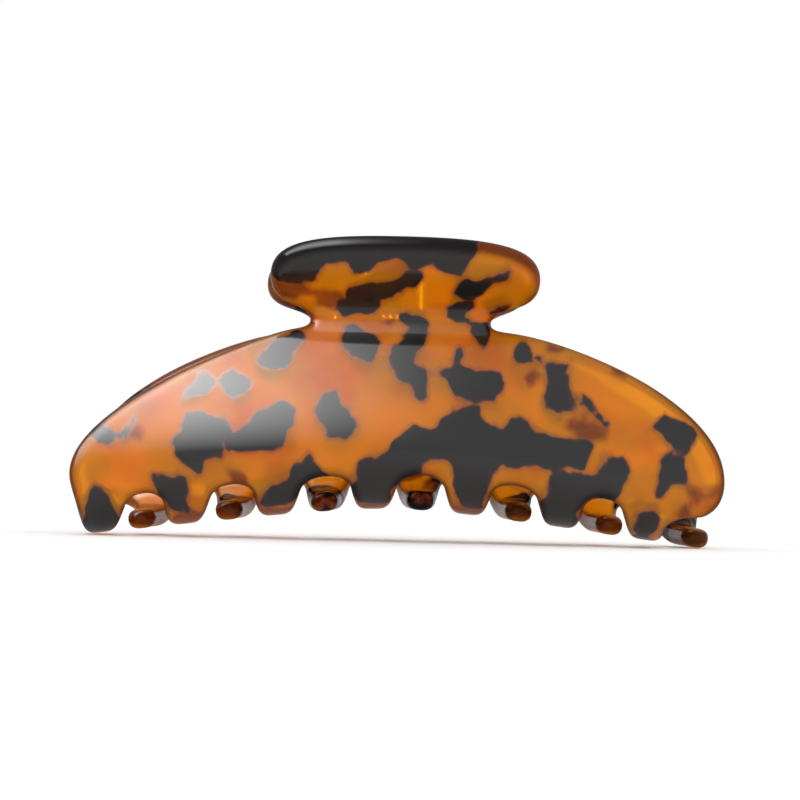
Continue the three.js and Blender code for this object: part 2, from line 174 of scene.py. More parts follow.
def flat_from_height(x, z):
    """How far down the section the sheet's middle is at height z, by halving."""
    low = np.full_like(x, SEARCH_START)
    high = np.full_like(x, SEC_S[-1] * SEARCH_END)
    for _ in range(SEARCH_ROUNDS):
        mid = (low + high) / 2
        above = middle_of_sheet(x, mid)[:, 2] > z
        low = np.where(above, mid, low)
        high = np.where(above, high, mid)
    return (low + high) / 2


# ---------------------------------------------------------------- outline
FINE = 24  # points on each drawn curve


def bezier(*controls):
    """A Bezier curve through 3 or 4 control points."""
    pts = np.array(controls, dtype=float)
    t = np.linspace(0, 1, FINE)[:, None]
    n = len(pts) - 1
    return sum(math.comb(n, k) * (1 - t) ** (n - k) * t**k * pts[k] for k in range(n + 1))


def laid_flat(curve):
    """A curve drawn as seen from the front, laid into the flat sheet."""
    return np.stack([curve[:, 0], flat_from_height(curve[:, 0], curve[:, 1])], axis=1)


def outline_of_half():
    """The flat outline of the front half, clockwise from the top of the handle."""
    top = (HANDLE_MIDDLE, HANDLE_TOP)
    parts = [
        laid_flat(bezier(top, (14, HANDLE_TOP), (HANDLE_RIGHT[0], 50.5), HANDLE_RIGHT)),
        laid_flat(bezier(HANDLE_RIGHT, (23.6, 40.2), (16.6, 41.2), WAIST_RIGHT)),
        laid_flat(bezier(WAIST_RIGHT, (14.7, 36.2), (17.4, 36.4), SHOULDER_RIGHT)),
        laid_flat(bezier(SHOULDER_RIGHT, (30.0, 34.2), (54.4, 25.2), JAW_RIGHT)),
        laid_flat(bezier(JAW_RIGHT, (55.5, 9.2), (54.6, 6.6), (51.6, 5.7))),
    ]
    root = SEC_S[np.argmax((SEC_Z < GAP_TOP) & (SEC_Y < JAW_DEPTH))]
    tip = SEC_S[np.argmax(SEC_Y > TIP_Y)]
    shoulder = root + GAP_ROUND
    round_start = tip - TIP_HALF
    turn = np.linspace(0, math.pi, FINE)
    for i in reversed(range(len(TEETH))):
        middle = TEETH[i]
        tip_middle = middle * TIP_SPREAD
        right = (middle + ROOT_HALF, shoulder)
        left = (middle - ROOT_HALF, shoulder)
        tip_right = (tip_middle + TIP_HALF, round_start)
        tip_left = (tip_middle - TIP_HALF, round_start)
        waist = shoulder + TOOTH_WAIST
        waist_right = ((right[0] + tip_right[0]) / 2 - TOOTH_BOW, waist)
        waist_left = ((left[0] + tip_left[0]) / 2 + TOOTH_BOW, waist)
        if i == len(TEETH) - 1:
            start = (middle + ROOT_HALF - 0.4, shoulder + 1.6)
            bend = (middle + ROOT_HALF + 0.6, shoulder - 1.0)
            parts.append(bezier(parts[-1][-1], bend, start))
            parts.append(bezier(start, waist_right, tip_right))
        else:
            parts.append(bezier(right, waist_right, tip_right))
        around = np.stack([np.cos(turn), np.sin(turn)], axis=1) * TIP_HALF
        parts.append(around + (tip_middle, round_start))
        if i > 0:
            parts.append(bezier(tip_left, waist_left, left))
            next_right = (TEETH[i - 1] + ROOT_HALF, shoulder)
            lift = root - GAP_ROUND / 3
            a = (left[0] - 0.2, lift)
            b = (next_right[0] + 0.2, lift)
            parts.append(bezier(left, a, b, next_right))
        else:
            end = laid_flat(bezier((-55.0, 8.0), (-55.3, 9.0), (-55.5, 9.8), JAW_LEFT))
            parts.append(bezier(tip_left, (-52.4, shoulder + 3), end[0]))
            parts.append(end)
    parts.append(laid_flat(bezier(JAW_LEFT, (-55.2, 21.4), (-28.5, 32.6), SHOULDER_LEFT)))
    parts.append(laid_flat(bezier(SHOULDER_LEFT, (-17.4, 36.4), (-14.8, 36.2), WAIST_LEFT)))
    parts.append(laid_flat(bezier(WAIST_LEFT, (-16.7, 41.2), (-22.5, 40.4), HANDLE_LEFT)))
    parts.append(laid_flat(bezier(HANDLE_LEFT, (-22.5, 50.5), (-13.2, HANDLE_TOP), top)))
    return np.concatenate(parts)


def evened(points, step, rounds):
    """The closed outline with points a step apart and its corners eased."""
    closed = np.concatenate([points, points[:1]])
    along = np.concatenate([[0], np.cumsum(np.linalg.norm(np.diff(closed, axis=0), axis=1))])
    keep = np.concatenate([[True], np.diff(along) > 1e-6])
    count = int(along[-1] / step)
    at = np.arange(count) * along[-1] / count
    even = np.stack([np.interp(at, along[keep], closed[keep, k]) for k in (0, 1)], axis=1)
    for _ in range(rounds):
        even = even * 0.5 + (np.roll(even, 1, axis=0) + np.roll(even, -1, axis=0)) * 0.25
    return even


def inset(points, distance):
    """The closed outline moved inwards."""
    way = np.roll(points, -1, axis=0) - np.roll(points, 1, axis=0)
    way /= np.linalg.norm(way, axis=1)[:, None]
    area = np.sum(points[:, 0] * np.roll(points[:, 1], -1) - points[:, 1] * np.roll(points[:, 0], -1))
    side = 1 if area > 0 else -1
    return points + np.stack([-way[:, 1], way[:, 0]], axis=1) * distance * side


def inside(points, loop):
    """Which points are inside the closed loop, by counting crossings."""
    result = np.zeros(len(points), dtype=bool)
    x, y = points[:, 0], points[:, 1]
    ax, ay = loop[:, 0], loop[:, 1]
    bx, by = np.roll(ax, -1), np.roll(ay, -1)
    for i in range(len(loop)):
        if ay[i] == by[i]:
            continue
        spans = (ay[i] > y) != (by[i] > y)
        cross = ax[i] + (y - ay[i]) * (bx[i] - ax[i]) / (by[i] - ay[i])
        result ^= spans & (x < cross)
    return result


def nearest(points, loop):
    """Distance from each point to the closed loop."""
    best = np.full(len(points), 1e9)
    ends = np.roll(loop, -1, axis=0)
    for a, b in zip(loop, ends):
        d = b - a
        t = np.clip(((points - a) @ d) / max(d @ d, 1e-12), 0, 1)
        gap = points - a - t[:, None] * d
        best = np.minimum(best, np.einsum("ij,ij->i", gap, gap))
    return np.sqrt(best)


# ------------------------------------------------------- tortoiseshell field
# Dark patches of the front half as seen from the front, as (x, height).
DARK = [
    [(-16.6, 48.9), (-14.6, 48.0), (-9.4, 48.1), (-8.7, 46.8), (-7.3, 46.9), (-4.5, 47.7),
     (-1.2, 48.7), (0.3, 47.4), (2.2, 47.4), (5.4, 48.5), (7.4, 47.3), (10.1, 46.9),
     (12.2, 48.9), (13.0, 50.4), (13, 54), (-12, 54), (-14, 50.3)],
    [(-23.2, 46.2), (-22.0, 49.4), (-18.5, 51.6), (-12.0, 52.8), (-12.4, 49.0), (-13.4, 47.2),
     (-14.4, 45.0), (-16.0, 44.6), (-19.0, 45.2), (-22.8, 45.6)],
    [(-9.3, 44.6), (-6, 44.8), (-3.4, 45.3), (-1.0, 46.4), (0.8, 47.4), (3.2, 47.2),
     (3.8, 46.4), (2.4, 44.9), (0.5, 43.9), (-1.4, 43.0), (-3.7, 42.3), (-4.1, 41.2),
     (-4.6, 39.9), (-7.5, 39.6), (-9.9, 38.8), (-11.7, 40.4), (-10.8, 41.8), (-9.3, 42.5)],
    [(8.3, 43.6), (9.8, 45.2), (10.6, 46.3), (13.6, 46.0), (16.2, 46.9), (17.9, 47.3),
     (17.4, 46.1), (15.0, 45.4), (13.9, 44.1), (11.0, 42.9), (9.0, 42.9)],
    [(8.1, 41.2), (9.4, 42.4), (12.3, 42.5), (12.4, 41.3), (11.4, 40.0), (12.6, 38.9),
     (15.2, 38.3), (15.2, 37.2), (12.0, 37.3), (9.4, 37.8), (8.0, 39.4)],
    [(14.7, 41.3), (16.2, 41.4), (18.9, 42.4), (18.9, 41.3), (16.5, 40.2), (15.2, 39.3),
     (14.6, 40.2)],
    [(0.3, 39.7), (4.1, 39.7), (4.3, 36.5), (4.2, 33.5), (3.6, 31.8), (3.0, 30.0),
     (4.4, 28.6), (4.9, 26.5), (4.6, 24.2), (4.0, 23.4), (2.9, 24.2), (1.6, 25.6),
     (-0.6, 27.0), (-1.7, 28.6), (-2.6, 30.4), (-2.0, 31.4), (-0.2, 32.2), (0.7, 34.0),
     (1.3, 36.3), (0.4, 38.3)],
    [(-9.6, 36.2), (-7.8, 37.0), (-6.4, 36.2), (-5.0, 34.8), (-4.0, 33.6), (-4.0, 30.4),
     (-5.0, 29.2), (-8.2, 30.4), (-9.3, 31.8), (-10.4, 33.4)],
    [(12.2, 37.0), (15.1, 37.6), (15.2, 34.0), (14.2, 33.0), (12.8, 34.2), (12.0, 35.6)],
    [(9.8, 32.9), (10.7, 32.6), (10.9, 30.0), (13.0, 29.5), (16.9, 28.7), (17.8, 27.0),
     (16.6, 25.4), (16.1, 23.2), (13.6, 23.6), (10.0, 24.2), (8.4, 25.5), (6.8, 27.2),
     (5.6, 28.0), (8.4, 29.7), (9.2, 31.5)],
    [(19.2, 31.0), (20.0, 32.8), (21.6, 34.0), (22.2, 32.4), (21.8, 30.4), (20.2, 30.0)],
    [(-13.9, 23.5), (-12.6, 25.0), (-10.8, 24.6), (-9.8, 22.6), (-8.2, 20.8), (-7.2, 19.4),
     (-7.6, 17.8), (-9.2, 16.9), (-11.8, 17.3), (-13.4, 19.4), (-14.0, 21.6)],
    [(-25.0, 19.5), (-22.6, 22.0), (-19.4, 22.5), (-17.6, 21.4), (-18.1, 18.5), (-19.6, 15.9),
     (-24.0, 14.2), (-27.8, 15.0), (-29.0, 16.2), (-26.7, 18.0)],
    [(-38.4, 16.4), (-36.8, 18.6), (-36.2, 20.5), (-33.0, 21.0), (-29.6, 19.6), (-28.8, 18.0),
     (-29.8, 16.0), (-29.4, 14.2), (-31.0, 13.4), (-32.6, 12.8), (-33.0, 11.0), (-33.8, 10.8),
     (-35.0, 12.2), (-37.6, 13.6), (-38.0, 14.8)],
    [(-34.6, 27.4), (-32.4, 27.6), (-31.6, 25.6), (-33.0, 23.8), (-35.4, 22.6), (-37.4, 22.2),
     (-36.4, 24.4), (-35.2, 25.6)],
    [(-29.8, 26.6), (-28.6, 27.8), (-26.4, 27.2), (-24.9, 25.6), (-25.4, 23.8), (-27.6, 22.9),
     (-29.4, 24.2)],
    [(-24.9, 29.2), (-23.0, 31.6), (-21.0, 33.6), (-18.6, 34.8), (-16.4, 35.0), (-16.2, 33.2),
     (-18.9, 31.6), (-18.6, 29.2), (-20.6, 28.1), (-23.6, 28.2)],
    [(-51.6, 17.4), (-50.4, 18.6), (-48.8, 18.0), (-47.9, 16.2), (-49.0, 14.6), (-50.4, 15.2)],
    [(-46.8, 15.6), (-46.6, 17.6), (-45.4, 19.6), (-44.2, 20.0), (-44.6, 18.4), (-45.6, 17.2),
     (-46.0, 15.8)],
    [(-41.0, 10.8), (-39.4, 10.9), (-35.6, 10.6), (-35.2, 9.0), (-35.6, 6.6), (-35.2, 5.2),
     (-38.0, 5.0), (-39.4, 6.6), (-40.4, 8.4)],
    [(-52.6, 7.2), (-51.6, 8.6), (-50.0, 8.3), (-48.6, 7.0), (-47.4, 5.0), (-46.8, 3.0),
     (-47.2, 0.0), (-47.4, -2), (-54, -2), (-53.6, 2), (-53.0, 5.4)],
    [(-23.4, 7.0), (-22.8, 9.5), (-19.8, 10.5), (-17.2, 12.4), (-15.2, 14.8), (-14.4, 13.2),
     (-12.8, 12.0), (-11.0, 11.2), (-8.2, 11.4), (-7.0, 10.4), (-15.4, 8.8), (-16.8, 7.2),
     (-19.0, 6.4), (-22.0, 5.8)],
    [(-8.6, 9.8), (-7.0, 11.6), (-6.8, 13.6), (-5.0, 14.8), (-1.4, 16.0), (0.4, 18.2),
     (2.6, 19.7), (5.4, 19.2), (7.4, 20.5), (9.8, 22.2), (11.8, 22.8), (13.6, 22.9),
     (14.6, 20.4), (17.6, 19.3), (19.8, 21.0), (22.0, 20.7), (23.6, 19.7), (26.0, 18.8),
     (30.0, 17.7), (32.9, 16.9), (32.4, 15.0), (31.4, 13.2), (29.8, 13.1), (28.6, 14.0),
     (25.6, 13.0), (22.0, 13.2), (17.8, 12.9), (16.0, 12.0), (15.2, 9.0), (15.0, 6.4),
     (11.4, 6.8), (9.6, 9.6), (9.2, 12.4), (7.6, 14.2), (5.6, 14.6), (4.2, 13.8),
     (3.8, 12.0), (1.0, 10.8), (-0.6, 9.6), (-1.0, 7.2), (-6.8, 7.0)],
    [(25.8, 12.6), (26.8, 12.0), (30.0, 12.2), (33.2, 12.6), (33.6, 14.6), (34.2, 16.4),
     (35.8, 15.2), (38.0, 15.0), (39.1, 13.0), (38.2, 10.2), (36.9, 8.0), (33.0, 8.4),
     (30.6, 6.4), (30.4, 2.0), (30.4, -4), (23.8, -4), (24.0, 5), (24.4, 9.0), (25.4, 10.0)],
    [(23.6, 31.2), (26.4, 30.8), (29.4, 31.0), (29.3, 29.6), (28.4, 27.6), (28.8, 25.6),
     (29.7, 23.8), (29.2, 22.4), (26.8, 20.7), (25.6, 21.8), (24.0, 24.2), (25.0, 26.6),
     (24.3, 28.8)],
    [(30.4, 25.4), (31.2, 25.1), (33.3, 22.9), (35.4, 20.4), (34.9, 20.0), (32.5, 22.4)],
    [(44.6, 23.1), (46.4, 21.9), (49.6, 20.0), (50.4, 18.8), (48.8, 16.7), (46.2, 16.9),
     (44.8, 18.2), (43.2, 20.2), (44.2, 21.6)],
    [(44.2, 15.0), (45.8, 15.9), (47.8, 15.0), (48.9, 13.2), (48.8, 11.4), (46.4, 10.6),
     (44.6, 9.2), (43.8, 9.4), (44.0, 12.0)],
    [(39.6, 6.8), (41.2, 7.8), (43.6, 7.6), (44.6, 6.2), (44.0, 4.0), (43.6, 1.0),
     (43.4, -4), (40.0, -4), (41.0, 2.6), (40.6, 5.0)],
]
# Fainter brown veils, deeper in the sheet; the last four are painted shade, brown bands on the
# bottoms of front teeth where they curl under.
VEILS_AND_TOOTH_SHADE = [
    [(-22, 45.2), (-17, 44.9), (-13.5, 44.1), (-10.5, 42.9), (-8.5, 41.6), (-9.5, 40.2),
     (-11.4, 40.4), (-13.2, 41.6), (-15.5, 42.4), (-20.5, 42.8)],
    [(20.0, 42.2), (22.8, 43.4), (22.2, 42.0), (20.5, 41.2)],
    [(-3.1, 37.2), (-2.2, 38.0), (-1.4, 37.7), (-1.9, 36.8)],
    [(-45.6, 16.4), (-44.6, 18.4), (-43.0, 17.6), (-43.6, 15.8)],
    [(-28.6, 11.4), (-27.4, 12.0), (-26.2, 10.8), (-25.0, 9.2), (-24.2, 7.6), (-25.2, 7.6),
     (-26.4, 8.8), (-27.8, 10.2)],
    [(49.2, 10.6), (51.6, 10.4), (54.4, 10.8), (54.6, 9.2), (52.0, 7.8), (50.0, 7.9), (49.4, 9.0)],
    [(46.4, 6.9), (49.0, 7.6), (49.6, 6.4), (48.0, 5.8)],
    [(26.4, 20.6), (31.0, 21.6), (35.0, 19.8), (34.6, 17.8), (30.6, 18.0)],
    [(25.2, 33.8), (27.6, 33.0), (27.2, 32.0), (25.4, 32.2)],
    [(21.0, 27.8), (23.4, 29.8), (24.0, 28.2), (22.0, 26.6)],
    [(36.4, 30.2), (38.6, 29.6), (38.0, 28.0), (36.6, 28.6)],
    [(-19.5, 49.6), (-15.5, 50.6), (-15.5, 48.6), (-19.0, 47.8)],
    # painted shade: the four bands below darken the bottoms of front teeth, standing in for the shade
    # where they curl under
    [(-38.4, 5.6), (-33.0, 5.6), (-32.6, 1.0), (-38.6, 1.0)],
    [(-23.0, 6.6), (-17.0, 6.8), (-17.0, 2.0), (-23.4, 2.0)],
    [(-7.0, 7.2), (-1.0, 7.4), (-1.2, 3.0), (-7.0, 3.0)],
    [(9.0, 8.0), (15.2, 6.6), (15.0, 3.0), (9.4, 3.0)],
]
PATCH_REACH = 9.0  # further out than this a point does not notice a patch


def signed(points, polygons):
    """How far inside the nearest polygon each point is, negative outside."""
    best = np.full(len(points), -PATCH_REACH)
    for polygon in polygons:
        loop = np.array(polygon, dtype=float)
        low = loop.min(axis=0) - PATCH_REACH
        high = loop.max(axis=0) + PATCH_REACH
        near = np.all((points > low) & (points < high), axis=1)
        if not near.any():
            continue
        some = points[near]
        distance = nearest(some, loop)
        value = np.where(inside(some, loop), distance, -distance)
        best[near] = np.maximum(best[near], value)
    return best


# The rear half's patches: one in each chosen cell of a grid over the sheet.
CELL_COLUMNS, CELL_ROWS = 11, 6
CELL_START = (-52, 2)
CELL_STEP = (10.5, 9.2)
CELL_WANDER = (3.4, 3)
BLOT_LONG = (3.2, 7.4)
BLOT_SHORT = (2.0, 4.2)
BLOT_LEAN = 0.9
BLOT_CORNERS = (6, 9)
CORNER_WANDER = 0.25
CORNER_REACH = (0.7, 1.2)


def scattered(seed, count):
    """Patches like the front's, for the other half: angular blots."""
    rng = random.Random(seed)
    blots = []
    cells = [(i, j) for i in range(CELL_COLUMNS) for j in range(CELL_ROWS)]
    rng.shuffle(cells)
    for i, j in cells[:count]:
        cx = CELL_START[0] + i * CELL_STEP[0] + rng.uniform(-CELL_WANDER[0], CELL_WANDER[0])
        cz = CELL_START[1] + j * CELL_STEP[1] + rng.uniform(-CELL_WANDER[1], CELL_WANDER[1])
        long = rng.uniform(*BLOT_LONG)
        short = rng.uniform(*BLOT_SHORT)
        lean = rng.uniform(-BLOT_LEAN, BLOT_LEAN)
        corners = rng.randint(*BLOT_CORNERS)
        blot = []
        for k in range(corners):
            a = 2 * math.pi * (k + rng.uniform(-CORNER_WANDER, CORNER_WANDER)) / corners
            u = long * math.cos(a) * rng.uniform(*CORNER_REACH)
            v = short * math.sin(a) * rng.uniform(*CORNER_REACH)
            blot.append(
                (cx + u * math.cos(lean) - v * math.sin(lean),
                 cz + u * math.sin(lean) + v * math.cos(lean))
            )
        blots.append(blot)
    return blots


PATTERN_BEND = 9.6  # height at which the sheet turns under into the teeth
PATTERN_FALL = 0.9


def pattern_place(x, s):
    """Where a sheet point lies in the pattern: x and height, and past the bend
    under the jaw the height goes on falling with the distance along the sheet."""
    bend = SEC_S[np.argmax(SEC_Z < PATTERN_BEND)]
    height = middle_of_sheet(x, np.minimum(s, bend))[:, 2]
    return np.stack([x, height - np.maximum(s - bend, 0) * PATTERN_FALL], axis=1)


# ------------------------------------------------------------------ meshes
def mesh_object(name, points, faces):
    """Makes a smooth object from points in millimetres."""
    mesh = bpy.data.meshes.new(name)
    mesh.from_pydata([tuple(p) for p in np.asarray(points) * MM], [], faces)
    mesh.update()
    work = bmesh.new()
    work.from_mesh(mesh)
    bmesh.ops.recalc_face_normals(work, faces=work.faces)
    if work.calc_volume(signed=True) < 0:
        bmesh.ops.reverse_faces(work, faces=work.faces)
    work.to_mesh(mesh)
    work.free()
    mesh.shade_smooth()
    obj = bpy.data.objects.new(name, mesh)
    bpy.context.collection.objects.link(obj)
    return obj


def float_attribute(obj, name, values):
    layer = obj.data.attributes.new(name, "FLOAT", "POINT")
    layer.data.foreach_set("value", np.asarray(values, dtype=np.float32))


def vector_attribute(obj, name, values):
    layer = obj.data.attributes.new(name, "FLOAT_VECTOR", "POINT")
    layer.data.foreach_set("vector", np.asarray(values, dtype=np.float32).ravel())


def bent_half(name, half_turn, dark, veil_and_shade, shift):
    """One half: its outline with a tumbled edge, filled on both sides and bent.

    The other two arguments are its dark patches and its brown veils, the front's veils including
    painted shade over its teeth's bottoms, and shift moves its noise away from the other's.
    """
    outline = evened(outline_of_half(), OUTLINE_STEP, OUTLINE_EASING)
    count = len(outline)
    quarter = np.linspace(0, 1, EDGE_RINGS + 1)
    # ring 0 is the middle of the edge, the last ring is where the flat face starts
    depth = EDGE_DEPTH * (1 - np.cos(quarter * math.pi / 2))
    share = np.maximum(1 - (1 - depth / EDGE_DEPTH) ** EDGE_POWER, 0)
    rise = SHEET / 2 * share ** (1 / EDGE_POWER)
    rings = [inset(outline, d) for d in depth]
    flat_points = [np.concatenate([rings[0], np.zeros((count, 1))], axis=1)]
    for side in (1, -1):
        for k in range(1, EDGE_RINGS + 1):
            level = np.full((count, 1), side * rise[k])
            flat_points.append(np.concatenate([rings[k], level], axis=1))

    def ring_start(side, k):
        if k == 0:
            return 0
        return count * (k if side > 0 else EDGE_RINGS + k)

    faces = []
    for side in (1, -1):
        for k in range(EDGE_RINGS):
            a, b = ring_start(side, k), ring_start(side, k + 1)
            for i in range(count):
                j = (i + 1) % count
                faces.append((a + i, a + j, b + j, b + i))

    # the faces: a grid of points inside the last ring, joined by Delaunay
    last = rings[-1]
    low, high = last.min(axis=0), last.max(axis=0)
    grid = []
    rows = int((high[1] - low[1]) / (GRID * GRID_ROW)) + 1
    for r in range(rows):
        xs = np.arange(low[0], high[0], GRID) + (r % 2) * GRID / 2
        grid.append(np.stack([xs, np.full(len(xs), low[1] + r * GRID * GRID_ROW)], axis=1))
    grid = np.concatenate(grid)
    grid = grid[inside(grid, last)]
    grid = grid[nearest(grid, last) > GRID * GRID_CLEAR]
    both = np.concatenate([last, grid])
    made = delaunay_2d_cdt(
        [Vector(p) for p in both],
        [(i, (i + 1) % count) for i in range(count)],
        [list(range(count))],
        1,
        JOIN,
    )
    order = [origins[0] for origins in made[3]]
    base = sum(len(p) for p in flat_points)
    for side in (1, -1):
        top = ring_start(side, EDGE_RINGS)
        for tri in made[2]:
            corners = []
            for v in tri:
                source = order[v]
                if source < count:
                    corners.append(top + source)
                else:
                    corners.append(base + source - count)
            faces.append(tuple(corners if side > 0 else corners[::-1]))
        flat_points.append(
            np.concatenate([grid, np.full((len(grid), 1), side * SHEET / 2)], axis=1)
        )
        base += len(grid)
    flat = np.concatenate(flat_points)
    solid = on_sheet(flat[:, 0], flat[:, 1], flat[:, 2])
    if half_turn:
        solid = solid * (-1, -1, 1)
    obj = mesh_object(name, solid, faces)
    place = pattern_place(flat[:, 0], flat[:, 1])
    float_attribute(obj, "dark", signed(place, dark))
    float_attribute(obj, "veil_and_shade", signed(place, veil_and_shade))
    # rim is 1 on the edge and falls to 0 where the flat face starts; the material darkens the colour
    # by it as painted shade and dulls the coat by it
    rim = np.zeros(len(flat))
    rim[:count] = 1
    for side in (1, -1):
        for k in range(1, EDGE_RINGS + 1):
            start = ring_start(side, k)
            rim[start : start + count] = 1 - depth[k] / EDGE_DEPTH
    float_attribute(obj, "rim", rim)
    coordinates = np.stack([place[:, 0] + shift, place[:, 1], flat[:, 2]], axis=1)
    vector_attribute(obj, "sheet", coordinates)
    return obj


# --------------------------------------------------------------- materials
def node_tree(name):
    """A material with one Principled shader, and that shader."""
    material = bpy.data.materials.new(name)
    material.use_nodes = True
    nodes = material.node_tree.nodes
    nodes.clear()
    output = nodes.new("ShaderNodeOutputMaterial")
    shader = nodes.new("ShaderNodeBsdfPrincipled")
    material.node_tree.links.new(shader.outputs["BSDF"], output.inputs["Surface"])
    return material, shader


class Graph:
    """Short calls for adding nodes to a material."""

    def __init__(self, material):
        self.tree = material.node_tree

    def node(self, kind, **values):
        made = self.tree.nodes.new(kind)
        for key, value in values.items():
            setattr(made, key, value)
        return made

    def link(self, source, target):
        self.tree.links.new(source, target)

    def put(self, socket, value):
        if isinstance(value, bpy.types.NodeSocket):
            self.link(value, socket)
        else:
            socket.default_value = value

    def math(self, operation, a, b=0.0, c=0.0):
        made = self.node("ShaderNodeMath", operation=operation)
        for socket, value in zip(made.inputs, (a, b, c)):
            self.put(socket, value)
        return made.outputs[0]

    def attribute(self, name, output="Fac"):
        return self.node("ShaderNodeAttribute", attribute_name=name).outputs[output]

    def noise(self, vector, scale, detail=2.0, rough=0.5):
        made = self.node("ShaderNodeTexNoise")
        self.link(vector, made.inputs["Vector"])
        made.inputs["Scale"].default_value = scale
        made.inputs["Detail"].default_value = detail
        made.inputs["Roughness"].default_value = rough
        return made.outputs["Fac"]

    def remap(self, value, low, high, to_low=0.0, to_high=1.0, smooth=True):
        made = self.node(
            "ShaderNodeMapRange", interpolation_type="SMOOTHSTEP" if smooth else "LINEAR"
        )
        self.put(made.inputs["Value"], value)
        for key, v in (
            ("From Min", low),
            ("From Max", high),
            ("To Min", to_low),
            ("To Max", to_high),
        ):
            made.inputs[key].default_value = v
        return made.outputs["Result"]

    def mix(self, factor, a, b, kind="MIX"):
        made = self.node("ShaderNodeMix", data_type="RGBA", blend_type=kind)
        self.put(made.inputs[0], factor)
        self.put(made.inputs[6], a)
        self.put(made.inputs[7], b)
        return made.outputs[2]

    def bump(self, height, strength, distance):
        made = self.node("ShaderNodeBump")
        made.inputs["Strength"].default_value = strength
        made.inputs["Distance"].default_value = distance
        self.link(height, made.inputs["Height"])
        return made.outputs["Normal"]


HONEY = (0.88, 0.315, 0.001, 1)
ORANGE = (0.80, 0.205, 0.001, 1)
RUST = (0.23, 0.040, 0.008, 1)
UMBER = (0.035, 0.008, 0.006, 1)
BLACK = (0.0065, 0.0045, 0.0045, 1)
# painted shade: the colour the tumbled edge is darkened towards, standing in for the deeper look that
# light's long path through the edge gives
RIM_SHADE = (0.13, 0.075, 0.05, 1)
AMBER_CLEAR = 0.55
AMBER_GLOSS = 0.36
RIM_GLOSS = 0.25  # share of the gloss left on the very edge
PATCH_TRIM = 0.25  # how much the patches are pulled in
CLOUD_SCALE = 0.10
WANDER_SCALE, WANDER = 0.30, 1.3
NICK_SCALE, NICK = 0.75, 0.35
# Distances inside a patch over which each change happens, from and to.
RUST_EDGE = (-0.95, -0.1)
UMBER_EDGE = (-0.38, 0.05)
BLACK_EDGE = (-0.12, 0.35)
VEIL_AND_SHADE_EDGE = (-0.9, 0.7)
CLEAR_EDGE = (-0.7, 0.1)
GLOSS_EDGE = (-0.9, 0.05)
HAZE_ROUGH = (0.16, 0.26)
COAT_ROUGH = 0.06
COAT_IOR = 1.5
BODY_IOR = 1.25


def acetate(name, patterned=True):
    """Amber acetate, darkened towards its tumbled edge as painted shade, with dark patches and brown
    veils where patterned; the front's veils include painted shade on its teeth's bottoms.
    """
    material, shader = node_tree(name)
    g = Graph(material)
    place = g.attribute("sheet", "Vector")
    cloud = g.noise(place, CLOUD_SCALE, 2.5, 0.5)
    amber = g.mix(g.remap(cloud, 0.42, 0.70), HONEY, ORANGE)
    rim = g.attribute("rim")
    # painted shade: the colour darkens towards the tumbled edge, standing in for light's longer path
    # through it there
    amber = g.mix(g.remap(rim, 0.30, 0.90, 0.0, 0.95), amber, RIM_SHADE, "MULTIPLY")
    if patterned:
        # broad wander and small nicks, added to the distance inside a patch
        wander = g.math("MULTIPLY_ADD", g.noise(place, WANDER_SCALE, 0.5), 2 * WANDER, -WANDER)
        nicks = g.math("MULTIPLY_ADD", g.noise(place, NICK_SCALE, 0.5), 2 * NICK, -NICK)
        ragged = g.math("ADD", wander, nicks)
        depth = g.math("ADD", g.attribute("dark"), g.math("SUBTRACT", ragged, PATCH_TRIM))
        # the veil field holds the brown veils and the painted shade on the front teeth's bottoms
        brown = g.math("ADD", g.attribute("veil_and_shade"), ragged)
        veiled_and_shaded = g.mix(g.remap(brown, *VEIL_AND_SHADE_EDGE, 0.0, 0.85), amber, RUST)
        rusty = g.mix(g.remap(depth, *RUST_EDGE, 0.0, 0.8), veiled_and_shaded, RUST)
        dark = g.mix(g.remap(depth, *UMBER_EDGE), rusty, UMBER)
        colour = g.mix(g.remap(depth, *BLACK_EDGE), dark, BLACK)
        clear = g.remap(depth, *CLEAR_EDGE, AMBER_CLEAR, 0.0)
        g.link(clear, shader.inputs["Transmission Weight"])
        gloss = g.remap(depth, *GLOSS_EDGE, AMBER_GLOSS, 1.0)
        duller = g.remap(rim, 0.0, 0.8, 1.0, RIM_GLOSS)
        g.link(g.math("MULTIPLY", gloss, duller), shader.inputs["Coat Weight"])
    else:
        colour = amber
        shader.inputs["Transmission Weight"].default_value = AMBER_CLEAR
        shader.inputs["Coat Weight"].default_value = AMBER_GLOSS
    g.link(colour, shader.inputs["Base Color"])
    haze = g.noise(place, 0.35, 4.0, 0.6)
    g.link(g.remap(haze, 0.3, 0.7, *HAZE_ROUGH, smooth=False), shader.inputs["Roughness"])
    g.link(g.bump(g.noise(place, 0.16, 1.0), 0.25, 0.0002), shader.inputs["Normal"])
    shader.inputs["Specular IOR Level"].default_value = 0.0
    shader.inputs["Coat Roughness"].default_value = COAT_ROUGH
    shader.inputs["Coat IOR"].default_value = COAT_IOR
    shader.inputs["IOR"].default_value = BODY_IOR
    return material


STEEL_BRIGHT = (0.52, 0.51, 0.49, 1)
STEEL_STAIN = (0.36, 0.34, 0.31, 1)
STEEL_LINE = (0.60, 0.59, 0.58, 1)
STEEL_ROUGH = (0.18, 0.36)


